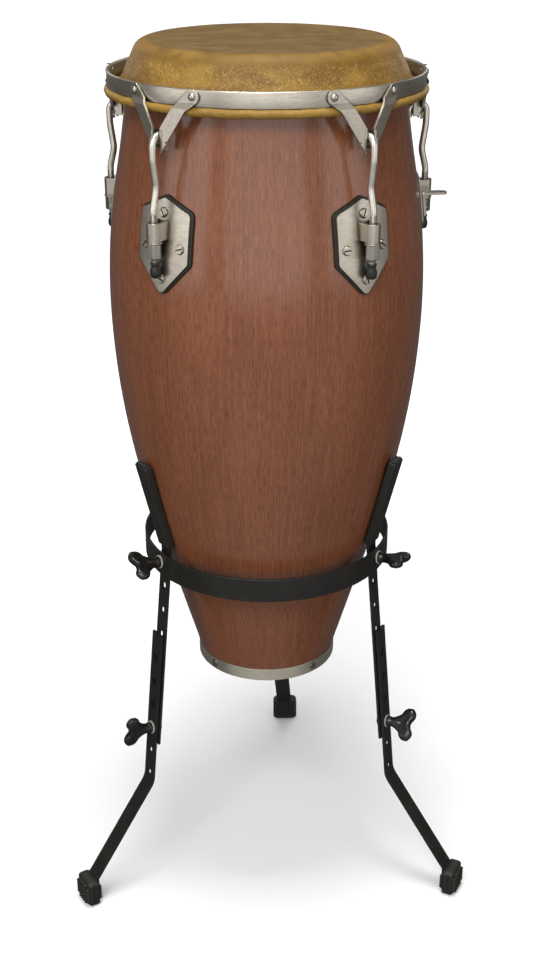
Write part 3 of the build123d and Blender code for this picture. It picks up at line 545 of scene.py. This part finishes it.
def metal_finish(name, bright, dark, roughness, edge, shade_and_patina, grain=(90.0, 1400.0, 1400.0)):
    """Metal brushed along grain's slow direction, darkened in its corners by painted shade and patina."""
    f = Finish(name, Metallic=1.0, Roughness=roughness)
    place = f.round_place(METAL_UNROLL)
    brush = f.noise(f.scaled(place, grain), 1.0, 2.0, 0.6)
    cloud = f.noise(f.place(), 55.0, 4.0, 0.6)
    # painted shade and patina: the ambient occlusion mask darkens corners, recesses and gaps between parts, where
    # shade falls
    open_share = f.node("ShaderNodeAmbientOcclusion", {"Distance": 0.009}, output="AO", samples=8)
    corner_shade_and_patina = f.math("MULTIPLY", f.ramp(open_share, 0.88, 0.42), shade_and_patina)
    colour = f.mix(f.ramp(cloud, 0.3, 0.7), tuple(0.86 * c for c in bright), bright)
    colour = f.mix(f.ramp(brush, 0.40, 0.75, 0.0, 0.22), colour, dark)
    f.colour(f.mix(corner_shade_and_patina, colour, dark))
    brushed = f.ramp(brush, 0.2, 0.8, roughness - SMOOTHER, roughness + ROUGHER)
    f.rough(f.math("ADD", brushed, f.math("MULTIPLY", corner_shade_and_patina, 0.2)))
    f.bump(brush, 0.00003, 0.35, edge)
    return f.material


def coated_finish(name, low, high, roughness, relief, edge):
    """Powder coat, rubber or moulded plastic with a fine skin of its own."""
    f = Finish(name, Roughness=roughness, Specular_IOR_Level=0.4)
    skin = f.noise(f.place(), 900.0, 3.0, 0.6)
    cloud = f.noise(f.place(), 30.0, 4.0, 0.6)
    f.colour(f.mix(f.ramp(cloud, 0.3, 0.7), low, high))
    mottle = f.math("ADD", skin, f.math("MULTIPLY", cloud, 0.5))
    f.rough(f.ramp(mottle, 0.5, 1.0, roughness - SMOOTHER, roughness + ROUGHER))
    f.bump(skin, relief, 0.5, edge)
    return f.material


finishes = {
    "shell_wood": wood_finish(),
    "head_hide": hide_finish(),
    "pewter_metal": metal_finish(
        "antique_pewter", bright=(0.52, 0.475, 0.40), dark=(0.045, 0.038, 0.028),
        roughness=0.34, edge=0.0006, shade_and_patina=1.0,
    ),
    "bright_steel": metal_finish(
        "satin_steel", bright=(0.66, 0.62, 0.54), dark=(0.18, 0.165, 0.14),
        roughness=0.33, edge=0.0004, shade_and_patina=0.5, grain=(1400.0, 120.0, 1400.0),
    ),
    "zinc_steel": metal_finish(
        "zinc_steel", bright=(0.44, 0.41, 0.355), dark=(0.060, 0.054, 0.044),
        roughness=0.32, edge=0.0011, shade_and_patina=0.9,
    ),
    "black_rubber": coated_finish(
        "black_rubber", low=(0.0068, 0.0064, 0.0042), high=(0.0120, 0.0110, 0.0075),
        roughness=0.52, relief=0.00005, edge=0.0010,
    ),
    "black_coat": coated_finish(
        "black_coat", low=(0.0068, 0.0060, 0.0044), high=(0.0110, 0.0098, 0.0072),
        roughness=0.42, relief=0.00004, edge=0.0004,
    ),
    "knob_plastic": coated_finish(
        "knob_plastic", low=(0.0060, 0.0055, 0.0045), high=(0.0085, 0.0078, 0.0065),
        roughness=0.26, relief=0.00001, edge=0.0006,
    ),
    # painted reflection: this steel's pale colour stands in for the bright floor seen in the band
    "band_painted_bright": metal_finish(
        "dull_band_steel", bright=(0.78, 0.72, 0.60), dark=(0.110, 0.100, 0.082),
        roughness=0.40, edge=0.0005, shade_and_patina=1.0,
    ),
    "nylon_washer": coated_finish(
        "nylon", low=(0.30, 0.30, 0.29), high=(0.42, 0.42, 0.40),
        roughness=0.30, relief=0.00002, edge=0.0002,
    ),
}
cad_slots = {part["node"]: part["material_slot"] for part in frame["record"]["subparts"]}
# painted reflection: the bottom band is coloured paler than the other pewter parts, standing in for the white
# floor that it reflects
cad_slots["bottom_band"] = "band_painted_bright"


# ---- shell ------------------------------------------------------------------
def tangent_arc(start, direction, end, steps):
    """Points of the arc from start along direction to end, and its closing direction."""
    chord = Vector(end) - Vector(start)
    turn = atan2(direction.cross(chord), direction.dot(chord))
    course = atan2(direction.y, direction.x)
    points = []
    for k in range(1, steps + 1):
        step_turn = turn * (k / steps)
        length = chord.length * sin(step_turn) / sin(turn)
        points.append(polar(start, length, course + step_turn))
    closing = chord.normalized() * (2 * direction.dot(chord.normalized())) - direction
    return points, closing


def shell_side():
    """Outer outline of the staves from the foot to the bearing edge."""
    points = [(FOOT_RADIUS, SHELL_BOTTOM), SKIRT_JOIN]
    direction = (Vector(SKIRT_JOIN) - Vector(points[0])).normalized()
    for end in STAVE_ARCS:
        arc, direction = tangent_arc(points[-1], direction, end, ARC_STEPS)
        points.extend(arc)
    return points


def make_shell():
    """The staves as one wall, with the bottom band's seat and the rounded bearing edge."""
    outer = shell_side()
    foot, skirt = outer[0], outer[1]
    slope = (skirt[0] - foot[0]) / (skirt[1] - foot[1])
    seat_start = SHELL_BOTTOM + (BAND_SEAT - FOOT_RADIUS) / slope
    above_band = FOOT_RADIUS + (BAND_TOP - SHELL_BOTTOM) * slope
    skirt_rows = [
        (
            above_band + (skirt[0] - above_band) * k / SKIRT_STEPS,
            BAND_TOP + (skirt[1] - BAND_TOP) * k / SKIRT_STEPS,
        )
        for k in range(SKIRT_STEPS + 1)
    ]
    inner = [(radius - SHELL_WALL, height) for radius, height in reversed(outer[1:])]
    loop = [foot, (BAND_SEAT, seat_start), (BAND_SEAT, BAND_TOP), *skirt_rows, *outer[2:-1]]
    edge = rounded([outer[-2], outer[-1], inner[0]], [0, EDGE_ROUND, 0], steps=8, closed=False)
    loop += edge[1:] + inner[1:] + [(FOOT_RADIUS - SHELL_WALL, SHELL_BOTTOM)]
    return mesh_object("stave_shell", *lathe(loop, TURN_STEPS), crease=30.0)


# ---- head -------------------------------------------------------------------
def head_skin(radius, steps):
    """Outline from the disc to the collar's foot, on the surface of this shoulder radius."""
    lean = radians(COLLAR_LEAN)
    centre = (HEAD_FLAT, HEAD_TOP - HEAD_SHOULDER)
    points = [(HEAD_FLAT * k / DISC_STEPS, centre[1] + radius) for k in range(1, DISC_STEPS)]
    for k in range(steps + 1):
        points.append(polar(centre, radius, pi / 2 - (pi / 2 - lean) * k / steps))
    start = points[-1]
    for k in range(1, COLLAR_STEPS + 1):
        drop = (start[1] - COLLAR_END) * k / COLLAR_STEPS
        points.append((start[0] + drop * tan(lean), start[1] - drop))
    return points


def head_flare(start, end, reach):
    """Curve from the collar's foot out to the roll; reach is how far the collar's line goes on."""
    start, end = Vector(start), Vector(end)
    bend = Vector((start.x + reach * tan(radians(COLLAR_LEAN)), start.y - reach))
    shares = [k / FLARE_STEPS for k in range(1, FLARE_STEPS)]
    return [tuple(start.lerp(bend, s).lerp(bend.lerp(end, s), s)) for s in shares]


def hide_ripple(radius, height, angle):
    """Uneven surface of the hide: a lumpy roll, a slack shoulder and a faintly dimpled disc."""
    spot = Vector((cos(angle), sin(angle), 0))
    if height < ROLL_TOP:
        swell = noise.noise(spot * 21.0 + Vector((0, 0, height * 0.05)))
        swell += 0.5 * noise.noise(spot * 60.0 + Vector((0, 3, height * 0.2)))
        sag = noise.noise(spot * 14.0 + Vector((5, 0, 0)))
        return radius + 0.75 * swell, height + 0.8 * sag
    slack = min(1.0, max(0.0, (radius - HEAD_FLAT) / SLACK_WIDTH))
    fold = noise.noise(spot * 9.0 + Vector((0, 0, height * 0.012)))
    dimple = noise.noise(Vector((radius * 0.03 * cos(angle), radius * 0.03 * sin(angle), 4)))
    lift = 0.25 * slack * fold + 0.12 * dimple * (1 - slack)
    return radius + 0.5 * slack * fold, height + lift


def make_head():
    """The hide in one piece: disc, shoulder, collar and the roll round the flesh hoop."""
    upper = head_skin(HEAD_SHOULDER, steps=12)
    lower = head_skin(HEAD_SHOULDER - HIDE, steps=8)
    roll = [
        polar(ROLL_CENTRE, ROLL_RADIUS, radians(ROLL_START - ROLL_SWEEP * k / ROLL_STEPS))
        for k in range(ROLL_STEPS + 1)
    ]
    loop = upper + head_flare(upper[-1], roll[0], FLARE_OUTSIDE) + roll
    loop += reversed(lower + head_flare(lower[-1], roll[-1], FLARE_INSIDE))

    steps = HEAD_TURN_STEPS
    vertices, faces = lathe(loop, steps, hide_ripple)
    rows = len(loop)
    # the loop is open at the axis: a centre point closes each face of the disc
    faces = [face for face in faces if face[0] // steps != rows - 1]
    vertices += [(0, 0, HEAD_TOP), (0, 0, HEAD_TOP - HIDE)]
    top, bottom, last = len(vertices) - 2, len(vertices) - 1, (rows - 1) * steps
    for k in range(steps):
        after = (k + 1) % steps
        faces.append((top, after, k))
        faces.append((bottom, last + k, last + after))
    head = mesh_object("drum_head", vertices, faces, crease=80.0)
    head.data.materials.append(finishes["head_hide"])
    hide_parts("head_skin", "tucked_hide")
    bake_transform(head)


# ---- rim --------------------------------------------------------------------
def dome(radius, height, foot):
    """Domed fastener head on the XY plane, with a foot below it."""
    rim = 0.12
    rings = [(radius * 0.96, -foot), (radius, -foot * 0.6), (radius, rim * height)]
    for angle in (15, 30, 45, 60, 75, 86):
        rise = rim + (1 - rim) * sin(radians(angle))
        rings.append((radius * cos(radians(angle)), height * rise))
    return turned(rings, steps=28)


def make_rim():
    """The rim's hoop and its rivets, one pair through each end of every yoke."""
    inner = RIM_OUTER - RIM_THICK
    section = [
        (RIM_OUTER, RIM_BOTTOM), (RIM_OUTER, RIM_TOP), (inner, RIM_TOP), (inner, RIM_BOTTOM),
    ]
    hoop = lathe(rounded(section, RIM_ROUND, steps=4), TURN_STEPS)
    dress(mesh_object("rim_hoop", *hoop), "rim", "pewter_metal", "rim_band")
    face = placed((YOKE_FACE, 0, RIVET_HEIGHT), (0, 1, 0), (1, 0, 0))
    back = placed((inner, 0, RIVET_HEIGHT), (0, 1, 0), (-1, 0, 0))
    heads = []
    for azimuth in LUG_AZIMUTHS:
        for side in (-1, 1):
            outwards = heading(azimuth + side * YOKE_SPREAD)
            heads.append(moved(dome(*RIVET_HEAD), outwards @ face))
            heads.append(moved(dome(*RIVET_TAIL), outwards @ back))
    dress(mesh_object("rim_rivets", *joined(heads)), "rim", "zinc_steel", "yoke_rivets")


# ---- rods, nuts and tips ----------------------------------------------------
def rod_route():
    """Centre line of a tension rod from the hook's tip to its threaded end, on +X."""
    axis, height = HOOK_CENTRE
    back, front = axis - HOOK_RADIUS, axis + HOOK_RADIUS
    hook = [(back, height - HOOK_TAIL), (back, height - HOOK_TAIL / 2)]
    for k in range(HOOK_STEPS + 1):
        hook.append(polar(HOOK_CENTRE, HOOK_RADIUS, pi - pi * k / HOOK_STEPS))
    corners = [
        (front, height), (front, height - HOOK_DROP), ROD_WAIST,
        (ROD_AXIS, THREAD_TOP + ROD_LEAD), (ROD_AXIS, THREAD_TOP),
    ]
    bends = [0, ROD_BEND, ROD_BEND, ROD_BEND, 0]
    return hook + rounded(corners, bends, steps=8, closed=False)[1:]


def thread_ridge(distance, angle):
    """Height of a rolled thread's ridge over its root."""
    phase = (distance / THREAD_PITCH - angle / (2 * pi)) % 1.0
    return THREAD_RIDGE * (1 - abs(2 * phase - 1))


def make_rods():
    """Five hooked rods, each with its threaded end as a second piece."""
    shank = tube(rod_route(), ROD_SHANK, sides=24)
    length = THREAD_TOP - ROD_BOTTOM
    rows = int(length / THREAD_PITCH * THREAD_ROWS)
    drop = [(ROD_AXIS, THREAD_TOP - length * k / rows) for k in range(rows + 1)]
    thread = tube(drop, THREAD_RADIUS - THREAD_RIDGE, sides=18, twist_ridge=thread_ridge)
    for number, azimuth in enumerate(LUG_AZIMUTHS, start=1):
        rod = mesh_object(f"hooked_rod_{number}", *moved(shank, heading(azimuth)))
        dress(rod, "rim", "bright_steel", f"tension_rod_{number}")
        end = mesh_object(f"rod_thread_{number}", *moved(thread, heading(azimuth)), crease=25.0)
        dress(end, "rim", "zinc_steel")


def hexagon_nut():
    """Long hexagon nut with chamfered corners and an open bore, on +X."""
    height = NUT_TOP - NUT_BOTTOM
    inradius = NUT_ACROSS_FLATS / 2
    rises = [*NUT_CHAMFER_ROWS, *(height - rise for rise in reversed(NUT_CHAMFER_ROWS))]
    rings = []
    for rise in rises:
        depth = min(rise, height - rise)
        cone = inradius - NUT_FACE_INSET + NUT_CONE * depth ** NUT_CONE_POWER
        rings.append((rise, min(cone, inradius * NUT_CORNER)))
    rings += [(height, NUT_MOUTH), (height - NUT_MOUTH_DEPTH, NUT_BORE)]
    rings += [(NUT_MOUTH_DEPTH, NUT_BORE), (0.0, NUT_MOUTH)]
    vertices = []
    for rise, limit in rings:
        for k in range(NUT_STEPS):
            angle = 2 * pi * k / NUT_STEPS
            flat = inradius / cos((angle + pi / 6) % (pi / 3) - pi / 6)
            x, y = polar((ROD_AXIS, 0.0), min(flat, limit), angle)
            vertices.append((x, y, NUT_BOTTOM + rise))
    return vertices, grid_faces(len(rings), NUT_STEPS, wrap_rows=True)


def make_nuts_and_tips():
    """A tuning nut on each rod and the rubber tips under the rods."""
    nut = hexagon_nut()
    profile = [(radius, TIP_BOTTOM + rise) for radius, rise in TIP_PROFILE]
    tip = moved(turned(profile, steps=32), Matrix.Translation((ROD_AXIS, 0, 0)))
    for number, azimuth in enumerate(LUG_AZIMUTHS, start=1):
        piece = mesh_object(f"hexagon_nut_{number}", *moved(nut, heading(azimuth)), crease=32.0)
        dress(piece, f"tuning_nut_{number}", "zinc_steel", f"tuning_nut_{number}")
    tips = joined([moved(tip, heading(azimuth)) for azimuth in LUG_AZIMUTHS])
    dress(mesh_object("rubber_tips", *tips), "rim", "black_rubber", "rod_tips")


# ---- stand ------------------------------------------------------------------
def in_wing(x, z):
    """Whether a point is inside the flat outline of a two-lobed wing knob."""
    if hypot(x, z - NOTCH_REACH) < NOTCH_RADIUS:
        return False
    if hypot(abs(x) - LOBE_OFFSET, z - LOBE_REACH) < LOBE_RADIUS:
        return True
    shoulder = STEM_WIDTH + max(0.0, z - STEM_FLARE) ** STEM_SPREAD_POWER * STEM_SPREAD
    return STEM_START < z < STEM_END and abs(x) < min(shoulder, LOBE_OFFSET + LOBE_RADIUS)


def wing_knob():
    """Moulded wing knob standing along +Z from its washer, wings spread along X."""
    steps = KNOB_STEPS
    turns = [2 * pi * k / steps for k in range(steps)]
    outline = []
    for angle in turns:
        reach = 0.0
        while in_wing(
            (reach + KNOB_WALK) * sin(angle), KNOB_MIDDLE - (reach + KNOB_WALK) * cos(angle)
        ):
            reach += KNOB_WALK
        outline.append(reach)
    for _ in range(KNOB_SMOOTHINGS):
        outline = [
            (outline[k - 1] + 2 * outline[k] + outline[(k + 1) % steps]) / 4 for k in range(steps)
        ]
    rows = [(share, 1) for share in reversed(KNOB_SHARES)]
    rows += [(share, -1) for share in KNOB_SHARES[1:]]
    vertices = []
    for share, side in rows:
        crown = sqrt(max(0.0, 1 - max(0.0, (share - CROWN_START) / CROWN_WIDTH) ** 2))
        thickness = side * KNOB_THICK / 2 * crown * (1.0 - KNOB_DISH * (1 - share))
        for angle, reach in zip(turns, outline):
            x, z = share * reach * sin(angle), KNOB_MIDDLE - share * reach * cos(angle)
            vertices.append((x, thickness, z))
    return joined([(vertices, capped_faces(len(rows), steps)), turned(HUB_PROFILE, steps=40)])


def wings_of(node, axis):
    """Frame of a CAD wing knob: its start on its bolt, then its wings' and the bolt's direction."""
    axis = Vector(axis).normalized()
    points = cad_points(node)
    start = min(p.dot(axis) for p in points)
    end = max(p.dot(axis) for p in points)
    wing_points = [p for p in points if p.dot(axis) > start + 0.5 * (end - start)]
    flat = [p - axis * p.dot(axis) for p in wing_points]
    centre = sum(flat, Vector()) / len(flat)
    across = max((p - centre for p in flat), key=lambda p: p.length)
    hub_points = [p for p in points if p.dot(axis) < start + 0.2]
    hub = sum(hub_points, Vector()) / len(hub_points)
    # the longest point leads; the slope of all points on its side puts the wings straight
    lead, aside = across.normalized(), axis.cross(across).normalized()
    spread = [p - hub for p in flat if (p - hub).dot(across) > 0]
    slope = sum(p.dot(lead) * p.dot(aside) for p in spread) / sum(p.dot(lead) ** 2 for p in spread)
    return placed(hub, lead + aside * slope, axis)


def make_knobs():
    """A wing knob on every ring bolt and leg bolt."""
    knob = wing_knob()
    axes = {joint["child"]: joint["axis"] for joint in frame["joints"]}
    for leg in LEGS:
        for kind in ("ring_knob", "leg_knob"):
            node = f"{kind}_{leg}"
            shape = moved(knob, wings_of(node, axes[node]))
            dress(mesh_object(f"wing_{node}", *shape, crease=50.0), node, "knob_plastic", node)


def squarish(half, share):
    """Coordinate of a squarish ellipse, from the cosine or sine of its angle."""
    return half * abs(share) ** FOOT_SQUARENESS * (1 if share >= 0 else -1)


def foot_core(depth, height):
    """Rounded block standing on z = 0: width along Y, depth along X, narrower at its foot."""
    rows, steps = 22, 96
    vertices = []
    for row in range(rows):
        share = row / (rows - 1)
        rise = height * share
        end = min(rise, height - rise)
        inset = FOOT_CORNER - sqrt(max(0.0, FOOT_CORNER ** 2 - max(0.0, FOOT_CORNER - end) ** 2))
        low = max(0.0, (FOOT_TAPER_SHARE - share) / FOOT_TAPER_SHARE)
        taper = 1.0 - FOOT_TAPER * low ** 1.5
        half_w = (FOOT_WIDTH / 2 - inset) * taper
        half_d = (depth / 2 - inset) * taper
        crown = max(0.0, share - 0.8) * 5  # over the top fifth
        for k in range(steps):
            angle = 2 * pi * k / steps
            x, y = squarish(half_d, cos(angle)), squarish(half_w, sin(angle))
            vertices.append((x, y, rise + FOOT_CROWN * (1 - (y / half_w) ** 2) * crown))
    return vertices, capped_faces(rows, steps)


def foot_block(height):
    """Rubber foot with rows of round bumps on its faces and down its sides."""
    parts = [foot_core(FOOT_DEPTH - 2 * FOOT_BUMP, height)]
    spacing = (height - BUMP_MARGIN) / (BUMP_ROWS - 1)
    for row in range(BUMP_ROWS):
        rise = BUMP_START + spacing * row
        for column in range(BUMP_COLUMNS):
            if row in (0, BUMP_ROWS - 1) and column in (0, BUMP_COLUMNS - 1):
                continue
            across = (column - (BUMP_COLUMNS - 1) / 2) * BUMP_PITCH
            for side in (-1, 1):
                out = side * (FOOT_DEPTH / 2 - FOOT_BUMP - 0.2)
                face = placed((out, across, rise), (0, 1, 0), (side, 0, 0))
                parts.append(moved(dome(*FACE_BUMP), face))
        for side in (-1, 1):
            for along in (-0.5, 0.5):
                spot = (along * BUMP_PITCH * 1.5, side * (FOOT_WIDTH / 2 - 0.5), rise)
                parts.append(moved(dome(*SIDE_BUMP), placed(spot, (1, 0, 0), (0, side, 0))))
    return joined(parts)


def make_feet():
    """A ribbed rubber foot in the place of each CAD foot, facing its leg's bolt."""
    bolts = {joint["name"]: Vector(joint["axis"]) for joint in frame["joints"]}
    for leg in LEGS:
        node = f"foot_{leg}"
        low, high = (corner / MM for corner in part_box(node))
        bolt = bolts[f"leg_swivel_{leg}"]
        middle = (low + high) / 2
        spot = placed((middle.x, middle.y, low.z), (bolt.x, bolt.y, 0), (0, 0, 1))
        piece = mesh_object(
            f"ribbed_{node}", *moved(foot_block(high.z - low.z), spot), crease=60.0
        )
        dress(piece, f"lower_leg_{leg}", "black_rubber", node)


# ---- studio -----------------------------------------------------------------
def make_sweep():
    """White paper all round: it is seen by the camera and neither lights nor shades the drum."""
    corners = [(0.5, 0.0), (SWEEP_RADIUS, 0.0), (SWEEP_RADIUS, SWEEP_HEIGHT)]
    profile = rounded(corners, [0, SWEEP_BEND, 0], steps=16, closed=False)
    floor_sweep = mesh_object("studio_sweep", *turned(profile, steps=96), crease=80.0)
    paper = Finish(
        "white_paper", Roughness=0.9, Specular_IOR_Level=0.0, Emission_Color=(1, 1, 1, 1)
    )
    paper.shader.inputs["Base Color"].default_value = (0.80, 0.80, 0.80, 1.0)
    spread = paper.node(
        "ShaderNodeVectorMath", {0: paper.place()}, output="Value", operation="LENGTH"
    )
    glow = paper.ramp(spread, *PAPER_FADE, *PAPER_GLOW)
    paper.tree.links.new(glow, paper.shader.inputs["Emission Strength"])
    floor_sweep.data.materials.append(paper.material)
    floor_sweep.visible_diffuse = False
    floor_sweep.visible_glossy = False
    floor_sweep.visible_shadow = False


def make_lights():
    """Soft boxes that the camera doesn't see."""
    for name, (spot, aim, size, power) in SOFT_BOXES.items():
        light = bpy.data.lights.new(name, "AREA")
        light.shape = "RECTANGLE"
        light.size, light.size_y = size
        light.energy = power
        holder = bpy.data.objects.new(name, light)
        holder.location = spot
        holder.rotation_euler = (Vector(aim) - Vector(spot)).to_track_quat("-Z", "Y").to_euler()
        holder.visible_camera = False
        bpy.context.scene.collection.objects.link(holder)


def make_world():
    """White surroundings, brighter overhead and towards the front."""
    world = bpy.data.worlds.new("studio")
    world.use_nodes = True
    tree = world.node_tree
    direction = tree.nodes.new("ShaderNodeTexCoord")
    split = tree.nodes.new("ShaderNodeSeparateXYZ")
    tree.links.new(direction.outputs["Generated"], split.inputs[0])
    total = tree.nodes.new("ShaderNodeMath")
    for socket, (axis, low, high, start, end) in enumerate(WORLD_GRADES):
        grade = tree.nodes.new("ShaderNodeMapRange")
        grade.interpolation_type = "SMOOTHSTEP"
        tree.links.new(split.outputs[axis], grade.inputs["Value"])
        grade.inputs["From Min"].default_value = low
        grade.inputs["From Max"].default_value = high
        grade.inputs["To Min"].default_value = start
        grade.inputs["To Max"].default_value = end
        tree.links.new(grade.outputs["Result"], total.inputs[socket])
    tree.links.new(total.outputs[0], tree.nodes["Background"].inputs["Strength"])
    tree.nodes["Background"].inputs["Color"].default_value = (1, 1, 1, 1)
    bpy.context.scene.world = world
    bpy.context.scene.view_settings.view_transform = "Standard"


def make_camera():
    """The photograph's view, slightly from above."""
    lens = bpy.data.cameras.new("camera")
    lens.sensor_fit = "VERTICAL"
    lens.sensor_height = SENSOR_HEIGHT
    lens.lens = FOCAL_LENGTH
    lens.shift_x = LENS_SHIFT
    camera = bpy.data.objects.new("camera", lens)
    camera.location = CAMERA_SPOT
    camera.rotation_euler = (radians(CAMERA_TILT), 0, 0)
    bpy.context.scene.collection.objects.link(camera)
    bpy.context.scene.camera = camera


# ---- assembly ---------------------------------------------------------------
make_sweep()
make_lights()
make_world()
make_camera()
dress(make_shell(), "drum", "shell_wood", "shell")
make_head()
make_rim()
make_rods()
make_nuts_and_tips()
make_knobs()
make_feet()

for name, node in frame["nodes"].items():
    node.data.materials.clear()
    node.data.materials.append(finishes[cad_slots[name]])
